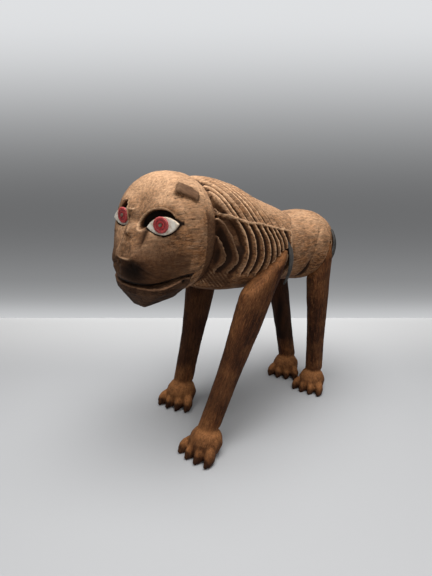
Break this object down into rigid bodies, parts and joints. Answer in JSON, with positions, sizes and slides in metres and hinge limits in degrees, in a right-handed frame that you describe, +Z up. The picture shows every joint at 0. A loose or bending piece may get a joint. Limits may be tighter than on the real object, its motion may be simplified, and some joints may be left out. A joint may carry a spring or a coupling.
{
  "type": "articulated wooden lion",
  "caption": "Folk-carved wooden lion standing on tapered legs, with a round head, inlaid eyes, ribbed mane and clawed paws.",
  "frame": {"origin": "on the floor, under the middle of the lion's outline", "axes": "+Z up, the lion faces -Y, its left side is +X"},
  "size_m": [0.1442, 0.2978, 0.2856],
  "materials": {
    "carved_wood": "dry, dusty brown wood, lighter where it is worn",
    "dark_wood": "dark brown wood, matte",
    "leg_wood": "dark reddish brown wood, matte",
    "grey_plate": "dull, oxidised dark grey",
    "eye_white": "polished off-white, as bone or shell",
    "eye_red": "brick red with a hatched rim",
    "pin_metal": "dark tarnished metal"
  },
  "bodies": {
    "root": {"carved_body": "carved_wood", "lower_jaw": "dark_wood", "front_left_leg": "leg_wood", "front_right_leg": "leg_wood", "rear_left_leg": "leg_wood", "rear_right_leg": "leg_wood", "front_left_plate": "grey_plate", "front_right_plate": "grey_plate", "rear_left_plate": "grey_plate", "rear_right_plate": "grey_plate", "left_eye_white": "eye_white", "right_eye_white": "eye_white", "left_eye_disc": "eye_red", "right_eye_disc": "eye_red", "left_eye_pin": "pin_metal", "right_eye_pin": "pin_metal"}
  },
  "joints": []
}
